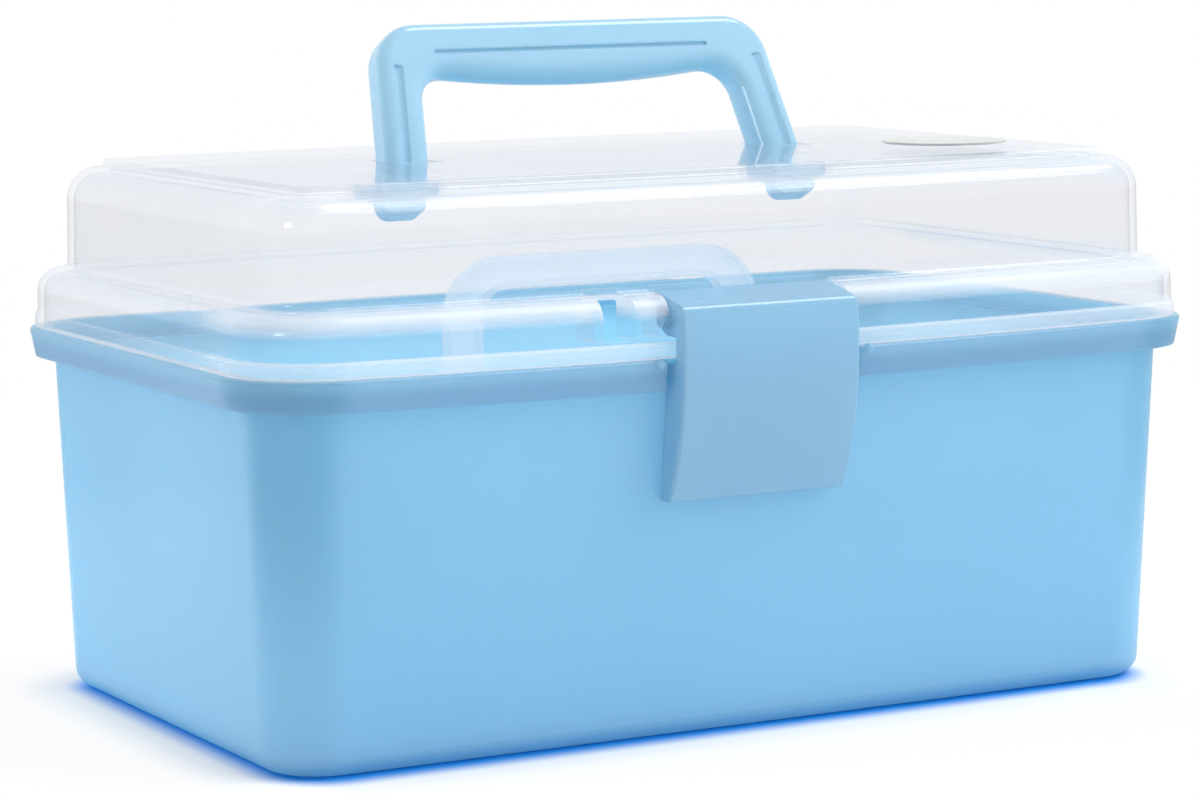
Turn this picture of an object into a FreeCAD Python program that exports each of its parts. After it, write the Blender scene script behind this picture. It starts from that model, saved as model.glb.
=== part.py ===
"""A moulded sewing box: a tapered body with a turned-down rim, a clear domed lid hinged along the back,
a swinging carry handle, a front latch, and a lift-out tray with its own arch handle.

Millimetres. X runs along the front, the front faces -Y, Z is up. The origin is at the middle of the
underside. Everything is shown closed, with the carry handle leaning back on its stop.
"""

import FreeCAD, Part
import math
import os

from FreeCAD import Vector

# Rim of the body, which every other outline is set in from.
rim_length = 270.0          # outside, left to right
rim_depth = 167.6           # outside, front to back, measured at the corners
rim_corner = 24.0           # plan radius of the corners
front_bow = 8.0             # how far the middle of the front swells past its corners
back_bow = 2.5
rim_top = 95.6
rim_height = 7.6
rim_taper = 1.4             # the rim narrows by this much towards its lower edge
rim_plate = 2.0             # thickness of the flat top of the rim
lip_wall = 2.0              # thickness of the turned-down lip
rim_edge_round = 0.6

# Body.
body_wall = 1.8
overhang = 6.4              # rim edge to the outside of the body wall
body_draft = 2.6            # the wall leans in by this much down to the base
base_corner = 16.0
base_round = 5.0
shelf_width = 2.2           # the ledge inside that the tray rests on
shelf_drop = 6.0            # below the rim's top

# Lid.
lid_wall = 1.7
lid_gap = 0.3               # between the rim and the lid's edge
bead_inset = 1.4            # the lid's lower bead, in from the rim edge
bead_height = 3.8
skirt_inset = 2.1
skirt_draft = 0.4
shoulder_rise = 15.4        # shoulder above the rim's top
shoulder_round = 6.0
dome_inset = 10.0
dome_draft = 0.8
dome_front_bow = 5.0
dome_rise = 41.8            # top of the dome above the rim's top
dome_round = 8.6
plateau_inset = 19.3
plateau_front_bow = 3.0
plateau_step = 1.9
plateau_slope = 1.3         # the step leans in by this much
plateau_round = 0.8
dome_foot_round = 1.5       # hollow corner where the dome meets the shoulder

# Back hinge: pins between ears on the body, below the rim's top, and snap-on clips on the lid.
hinge_spacing = 150.0
hinge_pin_radius = 2.0
hinge_bore_gap = 0.06
hinge_ring_wall = 1.6
hinge_neck_gap = 0.4        # between the clip's ring and the body behind it
hinge_drop = 4.6            # hinge pin below the rim's top face
hinge_clip_width = 14.0
hinge_side_gap = 0.35
hinge_ear_width = 3.0
hinge_toe_gap = 0.3         # left between the lid and the ears' toes when it is fully open
hinge_toe_height = 2.2
clip_mouth = 3.3            # opening of the snap-on clip
lid_swing = 105.0           # degrees

# Front latch, which hangs on two short trunnions in the lid's shoulder.
latch_width = 49.5
latch_middle = -4.5         # the latch sits a little left of the middle
latch_wall = 2.4
latch_drop = 35.0           # lower edge below the rim's top
latch_rise_front = 12.8     # top plate's front corner above the rim's top
latch_rise_back = 15.7
latch_proud = 2.2           # front corner of the top plate, ahead of the rim
latch_belly = 3.6           # how far the front swells past a straight line
latch_tuck = 7.0            # how far the lower edge is tucked in behind the top corner
latch_plate_depth = 13.7
latch_edge_round = 2.2
latch_side_round = 0.8
latch_side_gap = 0.5
latch_body_gap = 0.7
latch_rim_drop = 1.2        # the side walls' deep part ends this far below the rim's top
rim_gap = 2.5               # the rim is cut away this far beside the latch
trunnion_inset = 4.8        # trunnions behind the rim's front edge
trunnion_rise = 9.6         # and above the rim's top
trunnion_radius = 2.0
trunnion_reach = 1.5
trunnion_gap = 0.06
catch_height = 2.0
catch_drop = 9.2            # top of the body's catch rib below the rim's top
catch_gap = 0.35
catch_reach = 3.2
catch_width = 36.0

# Opening in the lid's shoulder beside and behind the latch.
opening_rise = 5.0          # lower edge of the opening above the rim's top
slot_width = 8.8
short_shoulder = 8.8        # length of shoulder left between the slot and the latch
cheek_wall = 1.8
dome_relief = 1.2           # the dome wall is thinned here, so the latch can turn
relief_rise = 1.4           # and as far as this above the shoulder
pip_radius = 1.3

# Carry handle, drawn upright and then leaned back.
handle_pivot_y = 2.1
handle_pivot_drop = 6.8     # pivot below the lid's top
handle_lean = 24.0          # degrees back from upright
handle_height = 43.4        # pivot to the top of the grip
handle_half_base = 55.7     # middle of an arm, at the pivot
handle_half_top = 50.4      # middle of an arm, at the top of the grip
handle_arm_width = 12.4
handle_thickness = 10.6
handle_grip_height = 14.0
handle_belly = 2.4
handle_outer_round = 12.0
handle_inner_round = 8.0
handle_edge_round = 3.0
handle_inner_edge = 4.4     # rounder along the inside, where the hand is
handle_groove_length = 81.0
handle_groove_height = 1.0
handle_groove_depth = 0.9
handle_groove_drop = 8.1
handle_groove_shift = -1.6  # the groove sits a little left of the middle
flute_width = 2.6
flute_depth = 0.8
flute_shift = 1.35          # the groove down each arm, outwards from its middle
flute_start = 5.0           # above the pivot
foot_middle = 58.0
foot_width = 12.4
foot_round = 4.4
foot_tab_length = 8.0       # the foot reaches this far below its bar
foot_tab_thickness = 5.0
foot_tab_round = 3.2
foot_bar_radius = 2.5
foot_bar_length = 22.0
foot_bore_gap = 0.06
hanger_wall = 2.0
hanger_offset = 9.9         # middle of a foot to the near face of each plate beside it
hanger_half_width = 5.0
hanger_below = 4.6
slot_side_gap = 0.6
slot_end_gap = 0.6

# Lift-out tray.
tray_wall = 1.5
tray_gap = 0.7              # sideways, all round
tray_seat_gap = 0.3
tray_depth = 30.0
tray_draft = 3.0
tray_round = 3.0
tray_bottom_bow = 4.0
tray_partition_x = 85.0
tray_partition_drop = 3.0
tray_spine_height = 20.0

# Arch handle that plugs into the tray.
arch_width = 91.5
arch_rise = 24.1            # top of the arch above the tray ledge
arch_band = 8.2
arch_leg = 9.4
arch_outer_round = 16.0
arch_web = 2.2
arch_bead = 5.0
arch_bead_width = 1.5
socket_wall = 1.6
socket_gap = 0.15
socket_depth = 14.0

# Bare round plate on the lid.
disc_radius = 16.5
disc_from_end = 39.0        # middle of the plate to the end of the rim
disc_y = -17.0
disc_thickness = 0.6
disc_recess = 0.3
disc_gap = 0.2

X_AXIS = Vector(1, 0, 0)
Y_AXIS = Vector(0, 1, 0)
Z_AXIS = Vector(0, 0, 1)
FAR = 400.0                 # longer than anything here, for cutting tools


class Outline:
    """A rounded rectangle whose long sides may swell outwards as arcs that run into the corners."""

    def __init__(self, half_length, half_depth, corner, front, back):
        self.half_length = half_length
        self.half_depth = half_depth
        self.corner = corner
        self.front = front
        self.back = back

    def inset(self, distance, front=None, back=None):
        """The same outline, smaller all round, with other bows where they are given."""
        return Outline(
            self.half_length - distance,
            self.half_depth - distance,
            self.corner - distance,
            self.front if front is None else front,
            self.back if back is None else back,
        )

    def corner_points(self, bow):
        """For a long side with this bow: its apex, where it meets the corner arc, and that arc's middle and end."""
        cx = self.half_length - self.corner
        if bow <= 0:
            cy = self.half_depth - self.corner
            meet = (cx, self.half_depth)
            turn = math.radians(90)
        else:
            big = (self.half_length ** 2 + bow ** 2) / (2 * bow)
            big_y = self.half_depth + bow - big
            cy = big_y + math.sqrt((big - self.corner) ** 2 - cx ** 2)
            scale = big / (big - self.corner)
            meet = (cx * scale, big_y + (cy - big_y) * scale)
            turn = math.atan2(cy - big_y, cx)
        middle = (cx + self.corner * math.cos(turn / 2), cy + self.corner * math.sin(turn / 2))
        return (0.0, self.half_depth + bow), meet, middle, (self.half_length, cy)

    def wire(self, z):
        """The outline as a closed wire at height z."""
        front = self.corner_points(self.front)
        back = self.corner_points(self.back)

        def at(point, side_x, side_y):
            return Vector(side_x * point[0], side_y * point[1], z)

        edges = []
        for points, side_y in ((front, -1), (back, 1)):
            apex, meet, middle, end = points
            left, right = at(meet, -1, side_y), at(meet, 1, side_y)
            bow = self.front if side_y < 0 else self.back
            if bow > 0:
                edges.append(Part.Arc(left, at(apex, 1, side_y), right).toShape())
            else:
                edges.append(Part.makeLine(left, right))
            for side_x in (-1, 1):
                start, finish = at(meet, side_x, side_y), at(end, side_x, side_y)
                edges.append(Part.Arc(start, at(middle, side_x, side_y), finish).toShape())
        for side_x in (-1, 1):
            edges.append(Part.makeLine(at(front[3], side_x, -1), at(back[3], side_x, 1)))
        return Part.Wire(Part.__sortEdges__(edges))

    def front_y(self, x):
        """Y of the front side at x, away from the corners."""
        return -(self.half_depth + self.front * (1 - (x / self.half_length) ** 2))

    def back_y(self, x):
        return self.half_depth + self.back * (1 - (x / self.half_length) ** 2)


def between(lower, z_lower, upper, z_upper):
    """A solid that runs straight from one outline to the other."""
    return Part.makeLoft([lower.wire(z_lower), upper.wire(z_upper)], True, True)


def level_edges(solid, z):
    """The edges of a solid that lie flat at height z."""
    return [e for e in solid.Edges if abs(e.BoundBox.ZMin - z) < 1e-4 and abs(e.BoundBox.ZMax - z) < 1e-4]


def rounded(solid, radius, z):
    """The solid with its edges at height z rounded."""
    return solid.makeFillet(radius, level_edges(solid, z))


def block(x0, x1, y0, y1, z0, z1):
    return Part.makeBox(x1 - x0, y1 - y0, z1 - z0, Vector(x0, y0, z0))


def rod(radius, x0, x1, y, z):
    """A round bar along X."""
    return Part.makeCylinder(radius, x1 - x0, Vector(x0, y, z), X_AXIS)


def joined(shapes):
    """Several solids as one."""
    return shapes[0].fuse(shapes[1:]).removeSplitter()


def side_plate(points, x0, x1):
    """A flat plate between x0 and x1 whose outline is given as (y, z) points."""
    corners = [Vector(x0, y, z) for y, z in points]
    face = Part.Face(Part.makePolygon(corners + corners[:1]))
    return face.extrude(Vector(x1 - x0, 0, 0))


rim = Outline(rim_length / 2, rim_depth / 2, rim_corner, front_bow, back_bow)
rim_low = rim_top - rim_height
shelf_top = rim_top - shelf_drop
wall_top = rim.inset(overhang)
collar = rim.inset(overhang - shelf_width)
base = Outline(
    wall_top.half_length - body_draft, wall_top.half_depth - body_draft, base_corner, 0.0, 0.0
)
collar_low = shelf_top - body_wall

lid_low = rim_top + lid_gap
shoulder_top = rim_top + shoulder_rise
dome_top = rim_top + dome_rise
plateau_top = dome_top + plateau_step
bead = rim.inset(bead_inset)
skirt = rim.inset(skirt_inset)
dome = rim.inset(dome_inset, dome_front_bow)
plateau = rim.inset(plateau_inset, plateau_front_bow)

hinge_x = hinge_spacing / 2
hinge_half_clip = hinge_clip_width / 2 + hinge_side_gap
hinge_ring = hinge_pin_radius + hinge_ring_wall
hinge_y = collar.back_y(hinge_x) + hinge_neck_gap + hinge_ring
hinge_z = rim_top - hinge_drop

latch_left = latch_middle - latch_width / 2
latch_right = latch_middle + latch_width / 2
latch_front = latch_proud - rim.front_y(0)
latch_bottom = rim_top - latch_drop
latch_top_front = rim_top + latch_rise_front
latch_top_back = rim_top + latch_rise_back
latch_pivot_y = rim.front_y(0) + trunnion_inset
latch_pivot_z = rim_top + trunnion_rise
catch_top = rim_top - catch_drop
opening_left = latch_left - latch_side_gap
opening_right = latch_right + latch_side_gap
opening_floor = rim_top + opening_rise
relief_top = shoulder_top + relief_rise
gap_left = latch_left - rim_gap
gap_right = latch_right + rim_gap

handle_pivot_z = plateau_top - handle_pivot_drop
arch_top = shelf_top + arch_rise
disc_x = rim_length / 2 - disc_from_end


def body_front(z):
    """Y of the outside of the body wall, in the middle of the front, at height z."""
    share = z / collar_low
    low, high = base.front_y(0), wall_top.front_y(0)
    return low + (high - low) * share


def lid_edge_when_open(x):
    """Y and Z, from the hinge pin, of the lid's lower back edge at x when the lid is fully open."""
    turn = math.radians(lid_swing)
    across, up = bead.back_y(x) - hinge_y, lid_low - hinge_z
    return across * math.cos(turn) + up * math.sin(turn), up * math.cos(turn) - across * math.sin(turn)


def hinge_ears():
    """Two pairs of ears behind the neck, each pair with its pin moulded between and toes that stop the lid."""
    stop_y, stop_z = lid_edge_when_open(hinge_x - hinge_half_clip - hinge_ear_width)
    root = collar.back_y(hinge_x) - body_wall / 2
    toe_top = hinge_z + stop_z - hinge_toe_gap
    pieces = []
    for side in (-1, 1):
        middle = side * hinge_x
        for edge in (-1, 1):
            inner = middle + edge * hinge_half_clip
            outer = inner + edge * hinge_ear_width
            x0, x1 = min(inner, outer), max(inner, outer)
            pieces.append(rod(hinge_ring, x0, x1, hinge_y, hinge_z))
            pieces.append(block(x0, x1, root, hinge_y, hinge_z - hinge_ring, hinge_z + hinge_ring))
            pieces.append(block(
                x0, x1, hinge_y, hinge_y + stop_y + hinge_toe_gap, toe_top - hinge_toe_height, toe_top
            ))
        reach = hinge_half_clip + hinge_ear_width / 2
        pieces.append(rod(hinge_pin_radius, middle - reach, middle + reach, hinge_y, hinge_z))
    return pieces


def hinge_notches():
    """What is cut from the rim, outside the neck, to make room for the lid's clips."""
    keep = between(collar, rim_low - 2, collar, rim_top + 1)
    pieces = []
    for side in (-1, 1):
        x0, x1 = side * hinge_x - hinge_half_clip, side * hinge_x + hinge_half_clip
        pieces.append(block(x0, x1, 0, FAR, rim_low - 1, rim_top + 1).cut(keep))
    return pieces


def box_body():
    """The box: floor, drafted wall, tray ledge, rim with its turned-down lip, hinge ears and catch."""
    tub = rounded(between(base, 0, wall_top, collar_low), base_round, 0)
    neck = between(collar, collar_low, collar, rim_top)
    band = between(rim.inset(rim_taper), rim_low, rim, rim_top)
    band = rounded(rounded(band, rim_edge_round, rim_top), rim_edge_round, rim_low)
    channel = between(
        rim.inset(rim_taper + lip_wall), rim_low - 1, rim.inset(lip_wall), rim_top - rim_plate
    )
    band = band.cut([channel] + hinge_notches())
    upright = between(wall_top, collar_low, wall_top, rim_top)
    gap = block(gap_left, gap_right, -FAR, 0, rim_low - 1, FAR).cut(upright).cut(tub)
    catch = block(
        latch_middle - catch_width / 2, latch_middle + catch_width / 2,
        body_front(catch_top) - catch_reach, body_front(catch_top) + body_wall,
        catch_top - catch_height, catch_top,
    )
    shell = joined([tub, neck, band] + hinge_ears()).cut(gap).fuse(catch)
    well = between(base.inset(body_wall), body_wall, wall_top.inset(body_wall), shelf_top)
    well = rounded(well, base_round - body_wall, body_wall)
    mouth = between(collar.inset(body_wall), shelf_top, collar.inset(body_wall), rim_top + 1)
    straight = between(wall_top.inset(body_wall), shelf_top, wall_top.inset(body_wall), rim_top + 1)
    mouth = mouth.cut(block(gap_left - body_wall, gap_right + body_wall, -FAR, 0, 0, FAR).cut(straight))
    shell = shell.cut(well).cut(mouth)
    for x in (gap_left - 1.5 * pip_radius, gap_right + 1.5 * pip_radius):
        pip = Part.makeSphere(pip_radius, Vector(x, rim.front_y(x), rim_top - pip_radius * 0.5))
        shell = shell.fuse(pip)
    return shell.removeSplitter()


def lid_skin(depth):
    """The solid inside the lid's outer surface, or inside its inner surface when depth is the wall."""
    low = lid_low - (1 if depth else 0)
    foot = skirt.inset(depth)
    shoulder = between(foot, low, foot.inset(skirt_draft), shoulder_top - depth)
    shoulder = rounded(shoulder, shoulder_round - depth, shoulder_top - depth)
    dome_base = dome.inset(depth)
    bell = between(dome_base, low + bead_height, dome_base.inset(dome_draft), dome_top - depth)
    bell = rounded(bell, dome_round - depth, dome_top - depth)
    table = plateau.inset(depth)
    top = between(table, dome_top - depth - 1, table.inset(plateau_slope), plateau_top - depth)
    top = rounded(top, plateau_round, plateau_top - depth)
    skin = joined([shoulder, bell, top])
    foot_edges = [
        e for e in level_edges(skin, shoulder_top - depth)
        if e.BoundBox.XMax < dome_base.half_length + 0.1 and e.BoundBox.XMin > -dome_base.half_length - 0.1
        and e.BoundBox.YMin > dome_base.front_y(0) - 0.1 and e.BoundBox.YMax < dome_base.back_y(0) + 0.1
    ]
    return skin.makeFillet(dome_foot_round, foot_edges)


def lid_opening(x0, x1):
    """What is cut from the lid's shoulder between x0 and x1, down to the bead."""
    behind = dome.inset(dome_relief)
    keep = between(behind, opening_floor - 1, behind, FAR)
    low = block(x0, x1, -FAR, 0, opening_floor, relief_top)
    return low.cut(keep)


def lid_cheek(x0, outer):
    """An upright wall that closes the end of the shoulder, one cheek thick from x0."""
    plate = block(x0, x0 + cheek_wall, -FAR, 0, opening_floor, shoulder_top)
    behind = between(dome, opening_floor - 1, dome, shoulder_top + 1)
    return plate.cut(behind).common(outer)


def handle_hangers():
    """Plates under the lid's top that carry the ends of the handle's foot bars."""
    pieces = []
    for side in (-1, 1):
        for edge in (-1, 1):
            inner = side * foot_middle + edge * hanger_offset
            outer = inner + edge * hanger_wall
            x0, x1 = min(inner, outer), max(inner, outer)
            plate = block(
                x0, x1, handle_pivot_y - hanger_half_width, handle_pivot_y + hanger_half_width,
                handle_pivot_z - hanger_below, plateau_top - lid_wall / 2,
            )
            bore = rod(foot_bar_radius + foot_bore_gap, x0, x1, handle_pivot_y, handle_pivot_z)
            pieces.append(plate.cut(bore))
    return pieces


def handle_slot(side):
    """The slot in the lid's top that an arm passes through, long enough for the lean both ways."""
    rise = plateau_top - handle_pivot_z
    lean = math.radians(handle_lean)
    half_y = rise * math.tan(lean) + handle_thickness / 2 / math.cos(lean) + slot_end_gap
    half_x = handle_arm_width / 2 + slot_side_gap
    middle = side * (handle_half_base - rise * (handle_half_base - handle_half_top) / handle_height)
    slot = block(
        middle - half_x, middle + half_x, handle_pivot_y - half_y, handle_pivot_y + half_y,
        plateau_top - 2 * lid_wall, plateau_top + 1,
    )
    upright = [e for e in slot.Edges if e.BoundBox.ZLength > lid_wall]
    return slot.makeFillet(3.0, upright)


def hinge_clips():
    """The snap-on clips at the back of the lid, with the arms that carry them."""
    pieces = []
    for side in (-1, 1):
        x0 = side * hinge_x - hinge_clip_width / 2
        x1 = x0 + hinge_clip_width
        ring = rod(hinge_ring, x0, x1, hinge_y, hinge_z)
        arm = block(x0, x1, hinge_y - hinge_ring, hinge_y, hinge_z, lid_low + bead_height)
        clip = ring.fuse(arm)
        clip = clip.cut(rod(hinge_pin_radius + hinge_bore_gap, x0, x1, hinge_y, hinge_z))
        mouth = block(
            x0, x1, hinge_y - clip_mouth / 2, hinge_y + clip_mouth / 2, hinge_z - 2 * hinge_ring, hinge_z
        )
        pieces.append(clip.cut(mouth))
    return pieces


def lid():
    """The clear lid, with its latch opening, handle slots, hangers and hinge clips."""
    outer = lid_skin(0)
    band = between(bead, lid_low, bead.inset(0.3), lid_low + bead_height)
    shell = joined([outer, band]).cut(lid_skin(lid_wall))
    slot_right = opening_left - short_shoulder
    slot_left = slot_right - slot_width
    shell = shell.cut(lid_opening(slot_left, slot_right))
    shell = shell.cut(lid_opening(opening_left, opening_right))
    cheek_places = (slot_left - cheek_wall, slot_right, opening_left - cheek_wall, opening_right)
    cheeks = [lid_cheek(x, outer) for x in cheek_places]
    shell = joined([shell] + cheeks + handle_hangers() + hinge_clips())
    for side in (-1, 1):
        shell = shell.cut(handle_slot(side))
    reach = opening_left - cheek_wall, opening_right + cheek_wall
    shell = shell.cut(rod(trunnion_radius + trunnion_gap, reach[0], reach[1], latch_pivot_y, latch_pivot_z))
    recess = Part.makeCylinder(
        disc_radius + disc_gap, disc_recess + 1, Vector(disc_x, disc_y, plateau_top - disc_recess)
    )
    return shell.cut(recess).removeSplitter()


def latch_block(inwards, x0, x1, back_y):
    """A solid bounded by the latch's skin in front and above, set in by a distance, and by back_y behind."""
    front = -latch_front + inwards
    slope = (latch_top_back - latch_top_front) / latch_plate_depth
    high = latch_top_front - inwards
    top_front = Vector(x0, front, high)
    top_back = Vector(x0, back_y, high + slope * (back_y - front))
    low = Vector(x0, front + latch_tuck, latch_bottom)
    belly = Vector(x0, front + latch_tuck / 2 - latch_belly, (high + latch_bottom) / 2)
    foot = low - Z_AXIS * (1 if inwards else 0)
    foot_back = Vector(x0, back_y, foot.z)
    edges = [Part.makeLine(top_back, top_front), Part.Arc(top_front, belly, low).toShape()]
    if inwards:
        edges.append(Part.makeLine(low, foot))
    edges += [Part.makeLine(foot, foot_back), Part.makeLine(foot_back, top_back)]
    return Part.Face(Part.Wire(edges)).extrude(Vector(x1 - x0, 0, 0))


def latch_sides():
    """The outline of the latch's side walls, which stop short of the body, the rim and the lid."""
    bead_front = bead.front_y(latch_middle) - latch_body_gap
    wall_low = body_front(latch_bottom) - latch_body_gap
    wall_high = body_front(collar_low) - latch_body_gap
    turn = trunnion_radius + 2.2
    return [
        (-latch_front - latch_belly, latch_top_back),
        (-latch_front - latch_belly, latch_bottom),
        (wall_low, latch_bottom),
        (wall_high, collar_low),
        (wall_high, rim_top - latch_rim_drop),
        (bead_front, rim_top - latch_rim_drop),
        (bead_front, opening_floor + 0.4),
        (latch_pivot_y, latch_pivot_z - turn),
        (latch_pivot_y + turn * math.cos(math.radians(45)), latch_pivot_z - turn * math.sin(math.radians(45))),
        (latch_pivot_y + turn, latch_pivot_z),
        (-latch_front + latch_plate_depth, latch_top_back),
    ]


def front_latch():
    """The latch: a curved cover with a top plate, two side walls, trunnions and a catch rib inside."""
    inner_left, inner_right = latch_left + latch_wall, latch_right - latch_wall
    behind = -latch_front + latch_plate_depth
    skin = latch_block(0, latch_left, latch_right, behind)
    skin = skin.makeFillet(latch_edge_round, [
        e for e in skin.Edges if abs(e.BoundBox.YMin + latch_front) < 1e-3 and e.BoundBox.XLength > latch_width / 2
    ])
    skin = skin.makeFillet(latch_side_round, [
        e for e in skin.Edges if e.BoundBox.XLength < 1e-3 and e.BoundBox.YMin < behind - 1
        and (e.BoundBox.ZLength > 8 or e.BoundBox.ZMax > latch_top_front - latch_edge_round - 1)
    ])
    hollow = latch_block(latch_wall, inner_left, inner_right, 0)
    sides = side_plate(latch_sides(), latch_left, latch_right)
    middle = block(inner_left, inner_right, -FAR, FAR, 0, FAR)
    pieces = [skin.common(middle).cut(hollow), skin.common(sides).cut(middle)]
    for x0, x1 in (
        (latch_left - latch_side_gap - trunnion_reach, latch_left + latch_wall / 2),
        (latch_right - latch_wall / 2, latch_right + latch_side_gap + trunnion_reach),
    ):
        pieces.append(rod(trunnion_radius, x0, x1, latch_pivot_y, latch_pivot_z))
    rib_back = body_front(catch_top) - catch_reach - catch_gap
    rib_top = catch_top - catch_height - catch_gap
    rib = block(
        latch_middle - catch_width / 2, latch_middle + catch_width / 2,
        -FAR, rib_back, rib_top - catch_height, rib_top,
    )
    pieces.append(rib.common(latch_block(latch_wall / 2, latch_left, latch_right, 0)))
    return joined(pieces)


def handle_arch():
    """The handle's front outline, upright, as a face in the plane Y = 0."""
    half_arm = handle_arm_width / 2

    def arm(x_share, up):
        """X of an arm's middle at a height above the pivot, plus a share of half its width."""
        share = up / handle_height
        return handle_half_base + (handle_half_top - handle_half_base) * share + x_share * half_arm

    def at(x, up):
        return Vector(x, 0, handle_pivot_z + up)

    grip_low = handle_height - handle_grip_height
    outer = Part.makePolygon([
        at(-arm(1, 0), 0), at(-arm(1, handle_height), handle_height),
        at(arm(1, handle_height), handle_height), at(arm(1, 0), 0), at(-arm(1, 0), 0),
    ])
    inner = Part.makePolygon([
        at(-arm(-1, 0), -1), at(-arm(-1, grip_low), grip_low),
        at(arm(-1, grip_low), grip_low), at(arm(-1, 0), -1), at(-arm(-1, 0), -1),
    ])
    return Part.Face(outer), Part.Face(inner), arm, grip_low


def carry_handle():
    """The carry handle: two fluted arms, a grip with a slight belly, and the feet below the lid."""
    outer, inner, arm, grip_low = handle_arch()
    thick = Vector(0, handle_thickness, 0)
    half = handle_thickness / 2

    def across(shape):
        """The upright edges of a plate at its top, which are its corners seen from the front."""
        top = shape.BoundBox.ZMax
        return [
            e for e in shape.Edges
            if e.BoundBox.YLength > half and e.BoundBox.ZLength < 1e-3 and abs(e.BoundBox.ZMax - top) < 1e-3
            and e.BoundBox.XLength < 1e-3
        ]

    body = outer.extrude(thick)
    body = body.makeFillet(handle_outer_round, across(body))
    gap = inner.extrude(thick)
    gap = gap.makeFillet(handle_inner_round, across(gap))
    body = body.cut(gap)
    span = arm(-1, grip_low) - handle_inner_round
    left, right = Vector(-span, 0, handle_pivot_z + grip_low + 1), Vector(span, 0, handle_pivot_z + grip_low + 1)
    low_left, low_right = left - Z_AXIS, right - Z_AXIS
    middle = Vector(0, 0, handle_pivot_z + grip_low - handle_belly)
    belly = Part.Face(Part.Wire([
        Part.makeLine(left, low_left),
        Part.Arc(low_left, middle, low_right).toShape(),
        Part.makeLine(low_right, right),
        Part.makeLine(right, left),
    ])).extrude(thick)
    body = body.fuse(belly).removeSplitter()
    body.translate(Vector(0, -half, 0))

    def face_edges(inside):
        """The edges of the front and back faces, along the inside of the handle or along the outside."""
        found = []
        for edge in body.Edges:
            middle = edge.CenterOfMass
            up = middle.z - handle_pivot_z
            if abs(abs(middle.y) - half) > 1e-3 or edge.BoundBox.ZMax < handle_pivot_z + 1:
                continue
            if inside == (abs(middle.x) < arm(0, up) and up < grip_low + 0.1):
                found.append(edge)
        return found

    body = body.makeFillet(handle_edge_round, face_edges(False))
    body = body.makeFillet(handle_inner_edge, face_edges(True))
    groove = block(
        handle_groove_shift - handle_groove_length / 2, handle_groove_shift + handle_groove_length / 2,
        -half - 1, -half + handle_groove_depth,
        handle_pivot_z + handle_height - handle_groove_drop - handle_groove_height,
        handle_pivot_z + handle_height - handle_groove_drop,
    )
    body = body.cut(groove)
    body = body.cut([flute(side, arm) for side in (-1, 1)])
    feet = []
    for side in (-1, 1):
        x = side * foot_middle
        x0, x1 = x - foot_width / 2, x + foot_width / 2
        feet.append(rod(foot_round, x0, x1, 0, handle_pivot_z))
        tab = block(
            x0, x1, -foot_tab_thickness / 2, foot_tab_thickness / 2,
            handle_pivot_z - foot_tab_length, handle_pivot_z,
        )
        low = [e for e in tab.Edges if e.BoundBox.YLength > 1 and e.BoundBox.ZMax < handle_pivot_z - 1]
        feet.append(tab.makeFillet(foot_tab_round, [e for e in low if e.BoundBox.XLength < 1e-3]))
        feet.append(rod(foot_bar_radius, x - foot_bar_length / 2, x + foot_bar_length / 2, 0, handle_pivot_z))
    body = joined([body] + feet)
    body.rotate(Vector(0, 0, handle_pivot_z), X_AXIS, -handle_lean)
    body.translate(Vector(0, handle_pivot_y, 0))
    return body


def flute(side, arm):
    """A shallow round groove down the front of one arm."""
    radius = (flute_width ** 2 / 4 + flute_depth ** 2) / (2 * flute_depth)
    front = -handle_thickness / 2 - radius + flute_depth
    low, high = flute_start, handle_height - handle_outer_round
    start = Vector(side * (arm(0, low) + flute_shift), front, handle_pivot_z + low)
    run = Vector(side * (arm(0, high) + flute_shift), front, handle_pivot_z + high) - start
    return Part.makeCylinder(radius, run.Length, start, run)


def tray_levels():
    """The tray's outline at its flange, at the top of its wall and at its floor."""
    flange = collar.inset(body_wall + tray_gap)
    high = wall_top.inset(body_wall + tray_gap)
    low = high.inset(tray_draft, tray_bottom_bow, 0.0)
    return flange, high, low


def lift_out_tray():
    """The tray: a shallow tub with a flange, two cross walls, and a spine that carries the arch handle."""
    flange, high, low = tray_levels()
    seat = shelf_top + tray_seat_gap
    floor = seat - tray_depth
    top = seat + tray_wall
    tub = rounded(between(low, floor, high, seat), tray_round, floor)
    notch = block(
        gap_left - body_wall - tray_gap, gap_right + body_wall + tray_gap, -FAR, 0, seat - 1, top + 1
    ).cut(between(high, seat - 2, high, top + 2))
    tub = joined([tub, between(flange, seat, flange, top).cut(notch)])
    well = between(low.inset(tray_wall), floor + tray_wall, high.inset(tray_wall), top)
    well = rounded(well, tray_round - tray_wall, floor + tray_wall)
    inside = well.copy()
    tub = tub.cut(well)
    walls = []
    for side in (-1, 1):
        x = side * tray_partition_x
        walls.append(block(
            x - tray_wall / 2, x + tray_wall / 2, -FAR, FAR, floor, seat - tray_partition_drop
        ).common(inside))
    spine_top = floor + tray_wall + tray_spine_height
    walls.append(block(-tray_partition_x, tray_partition_x, -tray_wall / 2, tray_wall / 2, floor + 1, spine_top))
    for side in (-1, 1):
        x = side * (arch_width - arch_leg) / 2
        half_x = arch_leg / 2 + socket_gap + socket_wall
        half_y = arch_bead / 2 + socket_gap + socket_wall
        walls.append(block(x - half_x, x + half_x, -half_y, half_y, floor + 1, spine_top))
    tray = joined([tub] + walls)
    for side in (-1, 1):
        x = side * (arch_width - arch_leg) / 2
        half_x = arch_leg / 2 + socket_gap
        half_y = arch_bead / 2 + socket_gap
        tray = tray.cut(block(x - half_x, x + half_x, -half_y, half_y, spine_top - socket_depth, spine_top + 1))
    return tray.removeSplitter()


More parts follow.
